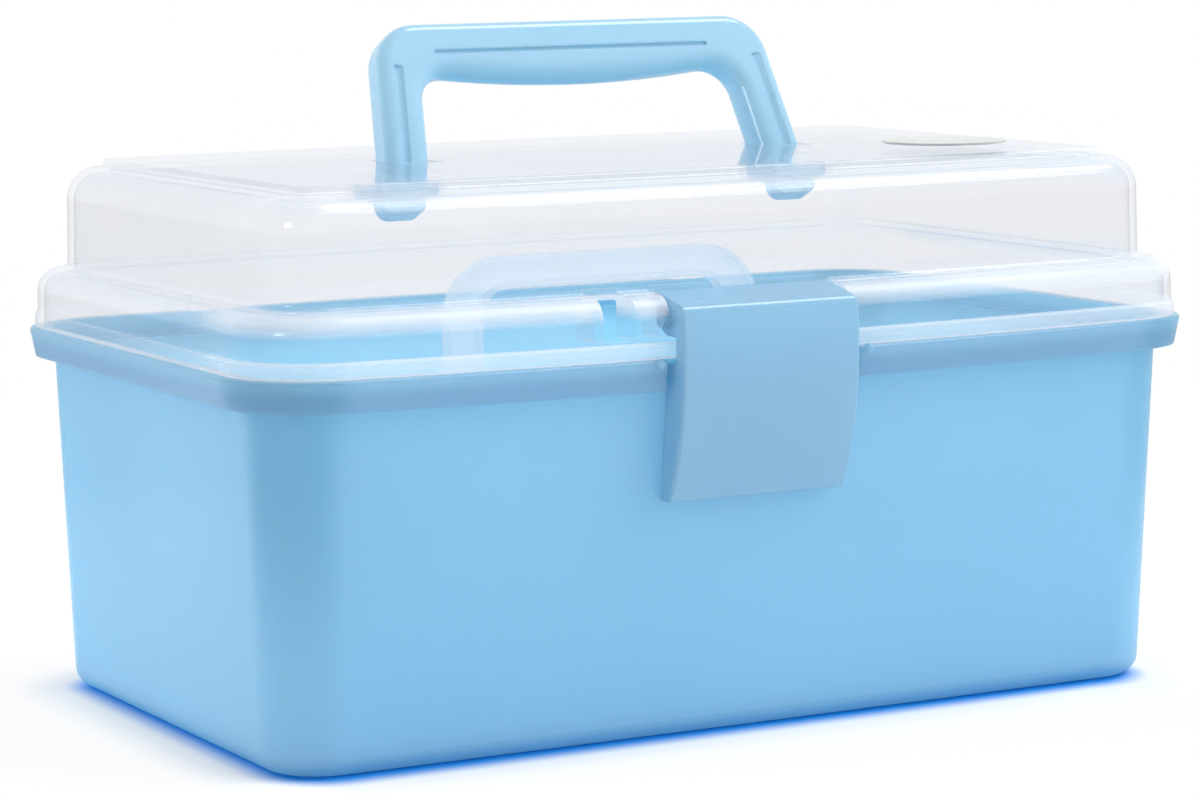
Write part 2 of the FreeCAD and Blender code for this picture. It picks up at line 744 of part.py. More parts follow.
def arch_face(inwards):
    """The arch's outline, legs down, set in by a distance from its edges, as a face in the plane Y = 0."""
    floor = shelf_top + tray_seat_gap - tray_depth + tray_wall
    low = floor + tray_spine_height - socket_depth
    half = arch_width / 2 - inwards
    high = arch_top - inwards
    outer_round = arch_outer_round - inwards
    inner_half = arch_width / 2 - arch_leg + inwards
    inner_high = arch_top - arch_band + inwards
    inner_round = arch_outer_round - arch_band + inwards
    bend = math.sqrt(0.5)

    def corner(x, z, radius, side):
        """An arc that turns a leg at x into a top at z."""
        centre = Vector(side * (x - radius), 0, z - radius)
        start = centre + Vector(side * radius, 0, 0)
        middle = centre + Vector(side * radius * bend, 0, radius * bend)
        return start, middle, centre + Vector(0, 0, radius)

    left, right = corner(half, high, outer_round, -1), corner(half, high, outer_round, 1)
    in_left, in_right = corner(inner_half, inner_high, inner_round, -1), corner(inner_half, inner_high, inner_round, 1)
    foot = [Vector(x, 0, low) for x in (-half, half, inner_half, -inner_half)]
    return Part.Face(Part.Wire([
        Part.makeLine(foot[0], left[0]),
        Part.Arc(*left).toShape(),
        Part.makeLine(left[2], right[2]),
        Part.Arc(*reversed(right)).toShape(),
        Part.makeLine(right[0], foot[1]),
        Part.makeLine(foot[1], foot[2]),
        Part.makeLine(foot[2], in_right[0]),
        Part.Arc(*in_right).toShape(),
        Part.makeLine(in_right[2], in_left[2]),
        Part.Arc(*reversed(in_left)).toShape(),
        Part.makeLine(in_left[0], foot[3]),
        Part.makeLine(foot[3], foot[0]),
    ]))


def tray_handle():
    """The arch that lifts the tray: a thin web with a bead along both of its edges."""
    full = arch_face(0).extrude(Vector(0, arch_bead, 0))
    full.translate(Vector(0, -arch_bead / 2, 0))
    hollow = arch_face(arch_bead_width).extrude(Vector(0, arch_bead, 0))
    for side in (-1, 1):
        pocket = hollow.copy()
        pocket.translate(Vector(0, arch_web / 2 if side > 0 else -arch_web / 2 - arch_bead, 0))
        full = full.cut(pocket)
    return full


def lid_disc():
    """A bare round plate set into the lid's top."""
    return Part.makeCylinder(disc_radius, disc_thickness, Vector(disc_x, disc_y, plateau_top - disc_recess))


NODES = {
    "box_body": box_body,
    "lid": lid,
    "front_latch": front_latch,
    "carry_handle": carry_handle,
    "lift_out_tray": lift_out_tray,
    "tray_handle": tray_handle,
    "lid_disc": lid_disc,
}

os.makedirs("parts", exist_ok=True)
for name, build in NODES.items():
    shape = build()
    shape.exportStep(f"parts/{name}.step")
    box = shape.BoundBox
    print(
        f"{name}: {len(shape.Solids)} solid, valid {shape.isValid()}, {shape.Volume / 1000:.1f} cm3, "
        f"x {box.XMin:.1f}..{box.XMax:.1f} y {box.YMin:.1f}..{box.YMax:.1f} z {box.ZMin:.1f}..{box.ZMax:.1f}"
    )
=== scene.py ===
# %% [markdown]
# # A sewing box in blue and clear plastic
# The box comes from CAD with its true sizes: a tapered blue body, a clear lid hinged at the back, a carry
# handle, a front latch and a lift-out tray with an arch handle. Blender gives it its finish and its light.
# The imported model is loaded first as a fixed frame. Its objects stay where they are, and every number below
# is in metres in that same frame, so nothing has to be fitted by eye.

import math

import bmesh
import bpy
from mathutils import Matrix, Vector

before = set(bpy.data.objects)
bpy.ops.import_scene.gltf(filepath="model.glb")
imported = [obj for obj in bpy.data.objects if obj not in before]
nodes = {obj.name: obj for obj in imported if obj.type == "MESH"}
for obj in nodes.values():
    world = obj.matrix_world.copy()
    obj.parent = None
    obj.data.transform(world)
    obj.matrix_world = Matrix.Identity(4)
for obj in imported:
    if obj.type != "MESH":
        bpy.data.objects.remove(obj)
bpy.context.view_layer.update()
print("nodes:", sorted(nodes))

# %% [markdown]
# ## The camera
# A product picture is taken from a little way off with a long lens, which keeps the box's sides nearly
# parallel. The camera could be aimed with a Track To constraint, but three plain vectors say the same thing
# and can be read: where it stands, where it looks, and how much it leans.

# %% Camera
CAMERA_PLACE = Vector((-0.4816, -0.8909, 0.2051))
CAMERA_TARGET = Vector((-0.0010, 0.0, 0.0741))
CAMERA_LEAN = math.radians(-0.70)
CAMERA_LENS = 116.2         # millimetres, and so is the sensor
SENSOR_WIDTH = 36.0
NEAREST_SEEN = 0.01

camera_data = bpy.data.cameras.new("camera")
camera_data.lens = CAMERA_LENS
camera_data.sensor_width = SENSOR_WIDTH
camera_data.clip_start = NEAREST_SEEN
camera = bpy.data.objects.new("camera", camera_data)
bpy.context.scene.collection.objects.link(camera)
aim = (CAMERA_TARGET - CAMERA_PLACE).to_track_quat("-Z", "Y").to_matrix().to_4x4()
camera.matrix_world = Matrix.Translation(CAMERA_PLACE) @ aim @ Matrix.Rotation(CAMERA_LEAN, 4, "Z")
bpy.context.scene.camera = camera
print("camera looks along", [round(v, 3) for v in (CAMERA_TARGET - CAMERA_PLACE).normalized()])

# %% [markdown]
# ## A short way to write nodes
# A material is a tree of nodes, and wiring it by hand in the Shader Editor is quick. In code the same tree
# grows long, so a few helpers keep it readable: each adds one node, feeds its sockets with numbers or with
# other nodes, and hands on its result. A node group would save repeats too, but its own tree has to be wired
# by the same calls.

# %% Node helpers


def new_material(name):
    """A new node material, with its tree and its Principled shader."""
    material = bpy.data.materials.new(name)
    material.use_nodes = True
    tree = material.node_tree
    return material, tree, tree.nodes["Principled BSDF"]


def set_sockets(node, **values):
    """Sets a node's own sockets by name, with underscores for spaces."""
    for name, value in values.items():
        node.inputs[name.replace("_", " ")].default_value = value


def feed(tree, value, socket):
    """Gives a socket a value, or links it to another node's result."""
    if isinstance(value, bpy.types.NodeSocket):
        tree.links.new(value, socket)
    else:
        socket.default_value = value


def calculate(tree, operation, first, second=0.0):
    """A math node."""
    node = tree.nodes.new("ShaderNodeMath")
    node.operation = operation
    feed(tree, first, node.inputs[0])
    feed(tree, second, node.inputs[1])
    return node.outputs[0]


def ramped(tree, value, start, end, low=0.0, high=1.0):
    """A smooth change from low to high while the value goes from start to end."""
    ramp = tree.nodes.new("ShaderNodeMapRange")
    ramp.interpolation_type = "SMOOTHSTEP"
    set_sockets(ramp, From_Min=start, From_Max=end, To_Min=low, To_Max=high)
    feed(tree, value, ramp.inputs["Value"])
    return ramp.outputs["Result"]


def mixed(tree, share, first, second, way="MIX"):
    """Two colours mixed: the first at a share of 0, and the second, or their product, at 1."""
    mix = tree.nodes.new("ShaderNodeMixRGB")
    mix.blend_type = way
    feed(tree, share, mix.inputs["Fac"])
    feed(tree, first, mix.inputs["Color1"])
    feed(tree, second, mix.inputs["Color2"])
    return mix.outputs["Color"]


def blend(tree, share, first, second):
    """A mix of two shaders: all first at 0, all second at 1."""
    mix = tree.nodes.new("ShaderNodeMixShader")
    feed(tree, share, mix.inputs["Fac"])
    tree.links.new(first.outputs[0], mix.inputs[1])
    tree.links.new(second.outputs[0], mix.inputs[2])
    return mix


def show(tree, shader):
    """Makes this shader the material's surface."""
    tree.links.new(shader.outputs[0], tree.nodes["Material Output"].inputs["Surface"])


print("node helpers ready")

# %% [markdown]
# ## Where a point lies
# Much of the finish depends on the place on the piece. The body's corners carry painted shade, the bends of
# the lid carry painted highlights in milk, and the floor has a painted blue shadow near the box. Object
# coordinates say where a point lies in metres. They ride with the piece, so a pattern built on them stays put
# in every pose and from every side. A painted mask would need unwrapping and an image for the same few
# numbers.

# %% Place helpers


def own_place(tree):
    """A point's place in its object's own coordinates."""
    return tree.nodes.new("ShaderNodeTexCoord").outputs["Object"]


def coordinate(tree, axis):
    """One of the object's own coordinates: X, Y or Z."""
    apart = tree.nodes.new("ShaderNodeSeparateXYZ")
    tree.links.new(own_place(tree), apart.inputs[0])
    return apart.outputs[axis]


def distance_outside(tree, place, half_sizes):
    """How far a point lies outside a rectangle about the origin, seen from above."""
    apart = tree.nodes.new("ShaderNodeSeparateXYZ")
    tree.links.new(place, apart.inputs[0])
    squares = []
    for axis, half in zip("XY", half_sizes):
        beyond = calculate(tree, "SUBTRACT", calculate(tree, "ABSOLUTE", apart.outputs[axis]), half)
        squares.append(calculate(tree, "POWER", calculate(tree, "MAXIMUM", beyond, 0.0), 2))
    return calculate(tree, "SQRT", calculate(tree, "ADD", *squares))


def by_height(tree, stops):
    """A colour that changes with height, in straight lines between stops of height and colour or grey."""
    low, high = stops[0][0], stops[-1][0]
    along = tree.nodes.new("ShaderNodeMapRange")
    set_sockets(along, From_Min=low, From_Max=high)
    tree.links.new(coordinate(tree, "Z"), along.inputs["Value"])
    ramp = tree.nodes.new("ShaderNodeValToRGB")
    elements = ramp.color_ramp.elements
    while len(elements) < len(stops):
        elements.new(0.5)
    for element, (height, *colour) in zip(elements, stops):
        red, green, blue = colour * 3 if len(colour) == 1 else colour
        element.position = (height - low) / (high - low)
        element.color = (red, green, blue, 1)
    tree.links.new(along.outputs["Result"], ramp.inputs["Fac"])
    return ramp.outputs["Color"]


print("place helpers ready")

# %% [markdown]
# ## The floor
# A pale product is shot on a white sweep. Here it is one large flat floor. Near the box it is a matt white
# that takes the shadow. Right at the foot of the box a blue shadow is painted into its colour, standing in
# for the light that comes through the plastic. Further off it fades to pure white for the eye and for
# reflections, so that no horizon shows. A curved sweep would need more faces for the same picture.

# %% Floor
FLOOR_HALF = 6.0
FLOOR_WHITE = (0.92, 0.92, 0.93, 1)
# painted blue shadow at the foot of the box, for the light that comes through the plastic
PAINTED_BLUE_SHADOW = (0.03, 0.30, 0.80, 1)
FLOOR_ROUGHNESS = 0.8
SHADE_CORE = (0.1080, 0.0588)       # half the length and depth that the shade is measured from
SHADE_SHIFT = (0.0018, 0.003, 0)    # brings the shade a little to the left and the front
SHADE_FADES = ((0.017, 0.036, 0.84), (0.10, 0.60, 0.16))   # from, to, and how much pure white each adds
PAINTED_SHADOW_EDGE = (0.012, 0.022)          # the blue ends between these distances
GLOSS_FADE = (0.22, 0.36)           # between these distances the floor gets dimmer for gloss
GLOSS_LOSS = 0.25

floor_mesh = bpy.data.meshes.new("floor")
floor_shape = bmesh.new()
bmesh.ops.create_grid(floor_shape, x_segments=1, y_segments=1, size=FLOOR_HALF)
floor_shape.to_mesh(floor_mesh)
floor_shape.free()
floor = bpy.data.objects.new("floor", floor_mesh)
bpy.context.scene.collection.objects.link(floor)
print("floor laid,", 2 * FLOOR_HALF, "metres square")

# %% [markdown]
# ## The white that the eye sees
# The floor's white is two things at once: a matt surface that lights the box as any white floor does, and a
# pure white for whatever looks at it. Light Path tells the two apart. A ray from the camera, a mirror or a
# clear wall looks, and a ray that only gathers light doesn't, so the white shows without lighting the box.

# %% Floor material


def rays_that_look(tree):
    """1 for rays that look at a thing, straight, mirrored or through clear plastic, and 0 for light."""
    path = tree.nodes.new("ShaderNodeLightPath").outputs
    seen = calculate(tree, "MAXIMUM", path["Is Camera Ray"], path["Is Glossy Ray"])
    straight_on = calculate(tree, "SUBTRACT", path["Is Transmission Ray"], path["Is Diffuse Ray"])
    return calculate(tree, "MAXIMUM", seen, straight_on)


def pure_white(tree, far):
    """The white that the floor shows. Gloss sees it dimmer far from the box, as the edge of a light tent."""
    light = tree.nodes.new("ShaderNodeEmission")
    is_gloss = tree.nodes.new("ShaderNodeLightPath").outputs["Is Glossy Ray"]
    loss = calculate(tree, "MULTIPLY", ramped(tree, far, *GLOSS_FADE, 0.0, GLOSS_LOSS), is_gloss)
    feed(tree, calculate(tree, "SUBTRACT", 1.0, loss), light.inputs["Strength"])
    return light


def white_share(tree, far):
    """How much of the floor is pure white to a ray that looks at it."""
    share = 0.0
    for start, end, added in SHADE_FADES:
        share = calculate(tree, "ADD", ramped(tree, far, start, end, 0.0, added), share)
    return calculate(tree, "MULTIPLY", share, rays_that_look(tree))


floor_material, floor_tree, floor_matt = new_material("white_floor")
shade_place = floor_tree.nodes.new("ShaderNodeVectorMath")
feed(floor_tree, own_place(floor_tree), shade_place.inputs[0])
feed(floor_tree, SHADE_SHIFT, shade_place.inputs[1])
floor_far = distance_outside(floor_tree, shade_place.outputs["Vector"], SHADE_CORE)
# the floor's colour, with the painted blue shadow close to the box
floor_tone_with_painted_shadow = mixed(floor_tree, ramped(floor_tree, floor_far, *PAINTED_SHADOW_EDGE), PAINTED_BLUE_SHADOW, FLOOR_WHITE)
feed(floor_tree, floor_tone_with_painted_shadow, floor_matt.inputs["Base Color"])
set_sockets(floor_matt, Roughness=FLOOR_ROUGHNESS, Specular_IOR_Level=0.0)
floor_share = white_share(floor_tree, floor_far)
show(floor_tree, blend(floor_tree, floor_share, floor_matt, pure_white(floor_tree, floor_far)))
floor_mesh.materials.append(floor_material)
print("floor is mostly white from", SHADE_FADES[0][1], "metres outside the shade's core")

# %% [markdown]
# ## The white surround
# The world does what the floor does: it looks pure white, and it lights the box only at a moderate level. A
# plain white world at full strength would wash the colours out.

# %% World
SKY_LEVEL = 0.36
SKY_TONE = (0.97, 0.98, 1, 1)

world = bpy.data.worlds.new("white_surround")
bpy.context.scene.world = world
world.use_nodes = True
sky = world.node_tree
sky_light = sky.nodes["Background"]
sky_seen = sky.nodes.new("ShaderNodeBackground")
set_sockets(sky_light, Color=SKY_TONE, Strength=SKY_LEVEL)
set_sockets(sky_seen, Color=(1, 1, 1, 1), Strength=1.0)
sky_mix = blend(sky, rays_that_look(sky), sky_light, sky_seen)
sky.links.new(sky_mix.outputs[0], sky.nodes["World Output"].inputs["Surface"])
print("white surround made, light level", SKY_LEVEL)

# %% [markdown]
# ## The lamps
# The light of a light tent comes from everywhere, a little more from the right and from behind, so that the
# thin plastic glows. A sun lamp with a very wide angle gives that: it lights the floor evenly as far as the
# eye reaches, and its shadow is as soft as a softbox's. Two narrower strips are also mirrored in the gloss
# and draw the thin highlights on the bends. Area lamps would fade with distance and leave the floor grey
# behind the box.

# %% Lamps
SOFTBOX_ANGLE = 50
WARM = (1.0, 0.84, 0.82)
WHITE = (1.0, 1.0, 1.0)


def wide_sun(name, comes_from, strength, angle, mirrored=False, colour=WHITE):
    """Adds a sun lamp from a direction, as wide as its angle in degrees. Gloss may mirror it or not."""
    data = bpy.data.lights.new(name, "SUN")
    data.energy = strength
    data.color = colour
    data.angle = math.radians(angle)
    lamp = bpy.data.objects.new(name, data)
    lamp.visible_glossy = mirrored
    bpy.context.scene.collection.objects.link(lamp)
    lamp.matrix_world = Vector(comes_from).to_track_quat("Z", "Y").to_matrix().to_4x4()


wide_sun("softbox_left", (-0.75, 0.46, 0.46), 0.80, SOFTBOX_ANGLE, colour=WARM)
wide_sun("softbox_right", (0.74, -0.45, 0.50), 2.10, SOFTBOX_ANGLE)
wide_sun("backlight", (-0.12, 0.97, 0.20), 3.60, 60)
wide_sun("strip_above", (0.48, -0.10, 0.87), 1.00, 26, mirrored=True)
wide_sun("strip_left", (-0.83, -0.31, 0.39), 0.45, 15, mirrored=True)
bpy.context.scene.view_settings.view_transform = "Standard"

# %% [markdown]
# ## Tones that wander
# A moulding is never quite even: where the plastic cooled slower it is a shade lighter and a little glossier,
# and its skin has very shallow waves. Slow noise on the piece's own coordinates gives all three. Image
# textures would need unwrapping, and would blur up close.

# %% Noise helpers
NOISE_EDGES = (0.35, 0.65)          # where a noise counts as all dark and all light
NOISE_SPREAD = (0.3, 0.7)           # and as its lowest and highest, for a number


def noise(tree, scale, detail=2.0):
    """A noise texture that reads the piece's own coordinates. A larger scale gives finer spots."""
    texture = tree.nodes.new("ShaderNodeTexNoise")
    set_sockets(texture, Scale=scale, Detail=detail)
    tree.links.new(own_place(tree), texture.inputs["Vector"])
    return texture.outputs["Fac"]


def colour_between(tree, amount, dark, light):
    """A colour that wanders from dark to light with an amount."""
    ramp = tree.nodes.new("ShaderNodeValToRGB")
    for element, position, colour in zip(ramp.color_ramp.elements, NOISE_EDGES, (dark, light)):
        element.position = position
        element.color = (*colour, 1)
    tree.links.new(amount, ramp.inputs["Fac"])
    return ramp.outputs["Color"]


def value_between(tree, amount, low, high):
    """A number that wanders between two values with an amount."""
    spread = tree.nodes.new("ShaderNodeMapRange")
    set_sockets(spread, From_Min=NOISE_SPREAD[0], From_Max=NOISE_SPREAD[1], To_Min=low, To_Max=high)
    tree.links.new(amount, spread.inputs["Value"])
    return spread.outputs["Result"]


def ripple(tree, shader, height, strength, distance, rounding=0.0):
    """Bumps the shader's surface by a height, and shades its sharp edges as if they were rounded."""
    bump = tree.nodes.new("ShaderNodeBump")
    set_sockets(bump, Strength=strength, Distance=distance)
    if rounding:
        edge = tree.nodes.new("ShaderNodeBevel")
        set_sockets(edge, Radius=rounding)
        tree.links.new(edge.outputs["Normal"], bump.inputs["Normal"])
    tree.links.new(height, bump.inputs["Height"])
    tree.links.new(bump.outputs["Normal"], shader.inputs["Normal"])


print("noise helpers ready")

# %% [markdown]
# ## Blue polypropylene
# The body, latch and handle are moulded in translucent blue polypropylene. Part of the light goes through the
# thin wall and comes out bluer, so the wall glows, and its skin is smooth with a soft shine. A Translucent
# shader mixed with the Principled one lets that part through. Subsurface scattering suits a thick block, and
# light crosses a wall of two millimetres nearly straight. A plain diffuse shader would look like paint.

# %% Blue plastic recipe
TONE_SPOTS = 14.0
SHINE_SPOTS = 30.0
RIPPLE_SPOTS = 35.0
RIPPLE_STRENGTH = 0.02
RIPPLE_DEPTH = 0.0004
PLASTIC_IOR = 1.49
COAT_ROUGHNESS = 0.06
GLOW = (0.60, 0.90, 1.0, 1)         # the light that has come through the wall


def blue_plastic(name, dark, light, gloss, through, coat=0.5, shade=None, rounding=0.0):
    """Blue polypropylene. Gloss is its lowest and highest roughness, and through the share it lets pass."""
    material, tree, shader = new_material(name)
    tone = colour_between(tree, noise(tree, TONE_SPOTS), dark, light)
    if shade:
        tone = shade(tree, tone)
    feed(tree, tone, shader.inputs["Base Color"])
    feed(tree, value_between(tree, noise(tree, SHINE_SPOTS), *gloss), shader.inputs["Roughness"])
    ripple(tree, shader, noise(tree, RIPPLE_SPOTS, 1.0), RIPPLE_STRENGTH, RIPPLE_DEPTH, rounding)
    set_sockets(shader, IOR=PLASTIC_IOR, Coat_Weight=coat, Coat_Roughness=COAT_ROUGHNESS)
    glowing = tree.nodes.new("ShaderNodeBsdfTranslucent")
    set_sockets(glowing, Color=GLOW)
    show(tree, blend(tree, through, shader, glowing))
    return material


def dress(node, material):
    """Puts a new material in a CAD node's one material slot."""
    nodes[node].material_slots[0].material = material


print("light that comes through the blue:", GLOW[:3])

# %% [markdown]
# ## The body's tone
# The body is not one flat blue: painted light and shade are in its colour. It is painted paler towards its
# base and inside, where light gathers, and darker towards the top of the wall, under the rim, as painted
# shade. The rim itself is painted a touch lighter than the wall just under it, and the upright corners carry
# a deeper painted shade. Each place gets a mask worked out from the body's own sizes. Painting the mesh's
# corners would give the same, but the CAD mesh stays as it is.

# %% Body tone
# painted light and shade by height: paler towards the base, darker towards the rim
BODY_PAINTED_LIGHT_AND_SHADE = ((0.0, 1.04, 1.15, 1.15), (0.030, 1.02, 1.10, 1.10), (0.0875, 0.87, 0.92, 0.94))
RIM_LOW = 0.0879
NECK = (0.1325, 0.0815)             # half the length and depth that the body's neck stays within
# painted light that lifts the rim a touch out of the painted shade under it
RIM_PAINTED_LIGHT = (1.06, 1.05, 1.05, 1)
# painted shade: a deeper band down the body's upright corners, darker upwards
CORNER_RISE = (0.015, 0.075)        # the corners' tone fades in between these heights
CORNER_PLACES = (("X", 0.108, 0.118), ("Y", 0.057, 0.067))  # from and to, either side of the middle
CORNER_PAINTED_SHADE = (0.58, 0.74, 0.80, 1)


def in_painted_shade_corner(tree):
    """1 in the body's four upright corners, fading in upwards, where the shade is painted."""
    share = ramped(tree, coordinate(tree, "Z"), *CORNER_RISE)
    for axis, start, end in CORNER_PLACES:
        off_middle = calculate(tree, "ABSOLUTE", coordinate(tree, axis))
        share = calculate(tree, "MULTIPLY", share, ramped(tree, off_middle, start, end))
    return share


def in_rim(tree):
    """1 in the body's rim, outside the neck."""
    outside = calculate(tree, "GREATER_THAN", distance_outside(tree, own_place(tree), NECK), 0.0)
    high = calculate(tree, "GREATER_THAN", coordinate(tree, "Z"), RIM_LOW)
    return calculate(tree, "MULTIPLY", high, outside)


print("the rim begins", RIM_LOW, "metres above the underside")

# %% [markdown]
# ## Inside or outside
# The inside of the body is painted paler, as painted light for the light that comes in through the clear lid.
# One mesh has both sides of the wall, 1.8 millimetres apart, so each face is told by its distance from the
# body's core, and the limit runs between the two sides. The wall leans and bows, so both are undone first. A
# second material inside would need the mesh cut into two sets of faces.

# %% Inside tone
HALF_LENGTH = 0.1286                # of the body's outside where its wall ends
WALL_TOP = 0.0878
WALL_LEAN = 0.0026                  # the wall leans in by this much down to its base
WALL_CORE = (0.1110, 0.0598)        # half the length and depth between the corners' middles
FRONT_BOW = 0.0080                  # the front swells by this much in its middle
BACK_BOW = 0.0025
INSIDE_STEPS = ((0.0009, 0.0121), (0.0050, 0.0046), (0.0887, 0.0016))   # height, and how much further out
# painted light on the inside of the body
INSIDE_PAINTED_LIGHT = (1.48, 1.74, 1.52, 1)


def swell(tree, across, rise):
    """How far the front or the back bows out, at a distance off the middle and a share of the height."""
    at_back = calculate(tree, "GREATER_THAN", coordinate(tree, "Y"), 0.0)
    less = calculate(tree, "MULTIPLY", at_back, FRONT_BOW - BACK_BOW)
    bow = calculate(tree, "SUBTRACT", FRONT_BOW, less)
    outward = calculate(tree, "MULTIPLY", calculate(tree, "MINIMUM", across, WALL_CORE[0]), 1 / HALF_LENGTH)
    bulge = calculate(tree, "SUBTRACT", 1.0, calculate(tree, "POWER", outward, 2))
    return calculate(tree, "MULTIPLY", calculate(tree, "MULTIPLY", bulge, bow), rise)


def beyond_core(tree):
    """How far a point lies outside the body's core, once the bow and the lean of the walls are undone."""
    across = calculate(tree, "ABSOLUTE", coordinate(tree, "X"))
    deep = calculate(tree, "ABSOLUTE", coordinate(tree, "Y"))
    rise = calculate(tree, "MINIMUM", calculate(tree, "MULTIPLY", coordinate(tree, "Z"), 1 / WALL_TOP), 1.0)
    lean = calculate(tree, "MULTIPLY", calculate(tree, "SUBTRACT", 1.0, rise), WALL_LEAN)
    flat = calculate(tree, "SUBTRACT", deep, swell(tree, across, rise))
    upright = tree.nodes.new("ShaderNodeCombineXYZ")
    feed(tree, calculate(tree, "ADD", across, lean), upright.inputs["X"])
    feed(tree, calculate(tree, "ADD", flat, lean), upright.inputs["Y"])
    return distance_outside(tree, upright.outputs["Vector"], WALL_CORE)


def inside_wall(tree):
    """1 on the faces inside the body, which lie nearer its core than the middle of the wall does."""
    reach = 0.0
    for height, further in INSIDE_STEPS:
        above = calculate(tree, "GREATER_THAN", coordinate(tree, "Z"), height)
        reach = calculate(tree, "ADD", calculate(tree, "MULTIPLY", above, further), reach)
    return calculate(tree, "LESS_THAN", beyond_core(tree), reach)


def body_tone_with_painted_light(tree, tone):
    """The body's tone, with painted light at its base, rim and inside, and painted shade under the rim and in
    its corners.
    """
    tone = mixed(tree, 1.0, tone, by_height(tree, BODY_PAINTED_LIGHT_AND_SHADE), "MULTIPLY")
    tone = mixed(tree, in_rim(tree), tone, RIM_PAINTED_LIGHT, "MULTIPLY")
    tone = mixed(tree, in_painted_shade_corner(tree), tone, CORNER_PAINTED_SHADE, "MULTIPLY")
    return mixed(tree, inside_wall(tree), tone, INSIDE_PAINTED_LIGHT, "MULTIPLY")


print("the inside begins", INSIDE_STEPS[0][0], "metres above the underside")

# %% [markdown]
# ## The blue pieces
# All three share the recipe. The latch is thicker and lets less light through. The handle is painted paler
# than the body, as painted light for the light it catches as it leans back. The edges of both are shaded
# round by the Bevel node, because they are crisp in the CAD model. A Bevel modifier would round them in the
# mesh, and the CAD shapes stay as they are.

# %% Blue pieces
LATCH_ROUNDING = 0.0006
HANDLE_ROUNDING = 0.0010

body_blue = blue_plastic(
    "body_blue", dark=(0.31, 0.465, 0.64), light=(0.325, 0.48, 0.65),
    gloss=(0.10, 0.17), through=0.55, coat=0.9, shade=body_tone_with_painted_light,
)
latch_blue = blue_plastic(
    "latch_blue", dark=(0.27, 0.53, 0.74), light=(0.285, 0.545, 0.755),
    gloss=(0.12, 0.18), through=0.25, rounding=LATCH_ROUNDING,
)
# the handle's paler tone is painted light
handle_blue = blue_plastic(
    "handle_blue", dark=(0.40, 0.63, 0.78), light=(0.415, 0.645, 0.795),
    gloss=(0.08, 0.12), through=0.35, coat=0.9, rounding=HANDLE_ROUNDING,
)
dress("box_body", body_blue)
dress("front_latch", latch_blue)
dress("carry_handle", handle_blue)
print("blue pieces dressed")

# %% [markdown]
# ## Clear and milky plastic
# The lid is clear polystyrene, thin, glossy and faintly grey. Through a wall this thin nothing shifts, so the
# light is simply let through with a tint, and the share that is mirrored grows towards a glancing look, as
# Schlick's rule says. The rest is milk: it scatters light both ways, as a frosted or a thick place does.
# Full refraction in both faces of the wall costs much more light and time, and mostly adds black lines along
# the steps.

# %% Clear plastic recipe
SQUARE_ON = 0.04            # share that a clear face mirrors when seen square on
GLANCE_POWER = 5.0
EVEN_FACING = 0.5           # at this blend Layer Weight's Facing isn't bent either way
MIRROR_TONE = (0.88, 0.90, 0.935, 1)
MILK_SPOTS = 20.0
MILK_SPREAD = (0.85, 1.15)
MILK_ROUGHNESS = 0.5
MILK_THROUGH = 0.45         # share of the milk's light that comes out on the far side
WAVE_SPOTS = 9.0
WAVE_STRENGTH = 0.02
WAVE_DEPTH = 0.0006


def mirrored_share(tree):
    """Schlick's rule: a clear face mirrors a little square on, and nearly all at a glance."""
    slant = tree.nodes.new("ShaderNodeLayerWeight")
    set_sockets(slant, Blend=EVEN_FACING)
    steep = calculate(tree, "POWER", slant.outputs["Facing"], GLANCE_POWER)
    return calculate(tree, "ADD", calculate(tree, "MULTIPLY", steep, 1 - SQUARE_ON), SQUARE_ON)


def milky_plastic(tree, shader, colour):
    """The milk in a clear plastic, which sends light back and on."""
    set_sockets(shader, Base_Color=colour, Roughness=MILK_ROUGHNESS)
    behind = tree.nodes.new("ShaderNodeBsdfTranslucent")
    set_sockets(behind, Color=colour)
    return blend(tree, MILK_THROUGH, shader, behind)


def clear_plastic(name, tint, milk, colour, roughness, mirror=1.0, highlight_milk=None):
    """Clear plastic with a tint, an even share of milk, the milk's colour, and more milk where it is asked,
    which paints highlights.
    """
    material, tree, shader = new_material(name)
    through = tree.nodes.new("ShaderNodeBsdfTransparent")
    set_sockets(through, Color=(*tint, 1))
    shine = tree.nodes.new("ShaderNodeBsdfGlossy")
    set_sockets(shine, Color=MIRROR_TONE, Roughness=roughness)
    ripple(tree, shine, noise(tree, WAVE_SPOTS, 1.0), WAVE_STRENGTH, WAVE_DEPTH)
    clear = blend(tree, calculate(tree, "MULTIPLY", mirrored_share(tree), mirror), through, shine)
    amount = value_between(tree, noise(tree, MILK_SPOTS), *(milk * spread for spread in MILK_SPREAD))
    if highlight_milk:
        amount = calculate(tree, "ADD", amount, highlight_milk(tree))
    show(tree, blend(tree, amount, clear, milky_plastic(tree, shader, (*colour, 1))))
    return material


print("a clear face seen square on mirrors", SQUARE_ON)
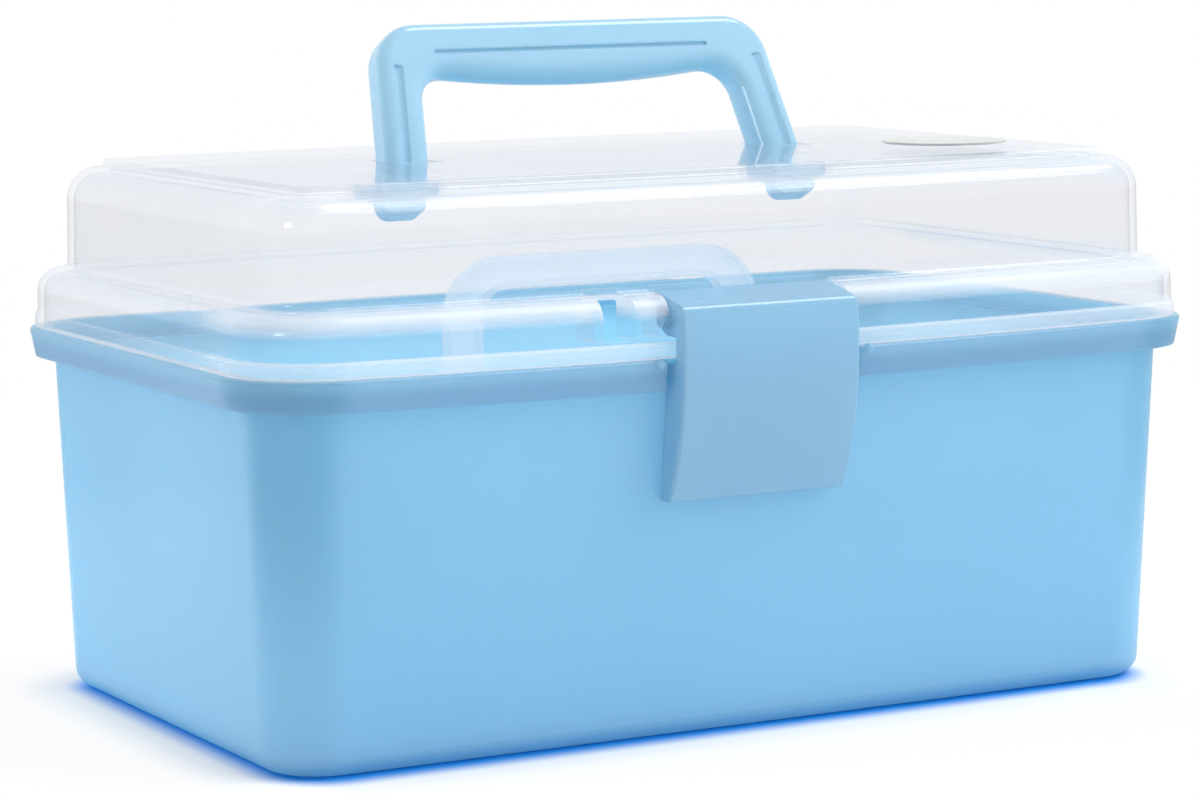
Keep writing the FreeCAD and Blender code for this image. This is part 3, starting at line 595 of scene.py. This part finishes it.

# %% [markdown]
# ## The lid
# Where the lid bends, the eye looks along the wall, and the bends mirror light towards it as white bands.
# Here those bands are painted highlights: extra milk, set by height. The milk follows the height, because each
# bend runs round the lid at one height. Towards the back they are seen through the front wall, so they fade. A
# Layer Weight node would whiten whatever is seen at a glance, which moves with the camera, while a bend stays
# where it is.

# %% Clear lid
CLEAR_BOUNCES = 48                  # a look through the closed box passes this many clear faces at most
# painted highlights on the bends: milk by height
BEAD_PAINTED_HIGHLIGHT = ((0.0950, 0.40), (0.0964, 0.22), (0.0990, 0.26), (0.0996, 0.50), (0.0999, 0.02))
SHOULDER_PAINTED_HIGHLIGHT = (
    (0.1050, 0.02), (0.1066, 0.24), (0.1088, 0.56), (0.1104, 0.48), (0.1110, 0.12), (0.1126, 0.02),
)
DOME_PAINTED_HIGHLIGHT = ((0.1290, 0.00), (0.1312, 0.04), (0.1338, 0.10), (0.1362, 0.36), (0.1374, 0.12))
TOP_PAINTED_HIGHLIGHT = ((0.1378, 0.24), (0.1392, 0.20), (0.1394, 0.02))
BACK_CLEARS = (-0.060, -0.035)      # from the front to the back, the bends lose their milk here
BACK_MILK = 0.25                    # down to this share


def painted_highlight_milk(tree):
    """The lid's painted highlights, as milk by height, for the bead, the shoulder, the dome and the raised
    top.
    """
    front = ramped(tree, coordinate(tree, "Y"), *BACK_CLEARS, 1.0, BACK_MILK)
    whole = by_height(tree, BEAD_PAINTED_HIGHLIGHT + SHOULDER_PAINTED_HIGHLIGHT + DOME_PAINTED_HIGHLIGHT + TOP_PAINTED_HIGHLIGHT)
    return calculate(tree, "MULTIPLY", whole, front)


clear_lid = clear_plastic(
    "clear_lid", tint=(0.966, 0.967, 0.973), milk=0.012, colour=(0.98, 0.98, 0.985),
    roughness=0.05, highlight_milk=painted_highlight_milk,
)
dress("lid", clear_lid)
bpy.context.scene.cycles.transparent_max_bounces = CLEAR_BOUNCES
print("lid dressed")

# %% [markdown]
# ## The tray
# The tray is clearer than the lid, and duller, so that it doesn't crowd the view into the box. Its arch is
# frosted: a third of it is milk, which makes it read as a pale shape in front of the blue. Making the tray
# frosted as well would hide the inside of the box.

# %% Tray and its handle
frosted_tray = clear_plastic(
    "frosted_tray", tint=(0.985, 0.994, 0.999), milk=0.02, colour=(0.85, 0.94, 1.0),
    roughness=0.3, mirror=0.35,
)
frosted_handle = clear_plastic(
    "frosted_handle", tint=(0.96, 0.98, 0.998), milk=0.35, colour=(0.95, 0.98, 1.0), roughness=0.3,
)
dress("lift_out_tray", frosted_tray)
dress("tray_handle", frosted_handle)
print("tray and its handle dressed")

# %% [markdown]
# ## The disc
# The small plate on the lid is bare and matt, a pale grey with a faint grain. It is left blank. Metal would
# mirror the white surround and look as pale as the lid.

# %% Disc
DISC_GRAIN = 60.0
DISC_ROUGHNESS = 0.35

disc_material, disc_tree, disc_shader = new_material("bare_disc")
disc_tone = colour_between(disc_tree, noise(disc_tree, DISC_GRAIN), (0.50, 0.53, 0.50), (0.54, 0.57, 0.54))
feed(disc_tree, disc_tone, disc_shader.inputs["Base Color"])
set_sockets(disc_shader, Roughness=DISC_ROUGHNESS)
dress("lid_disc", disc_material)
print("disc dressed")
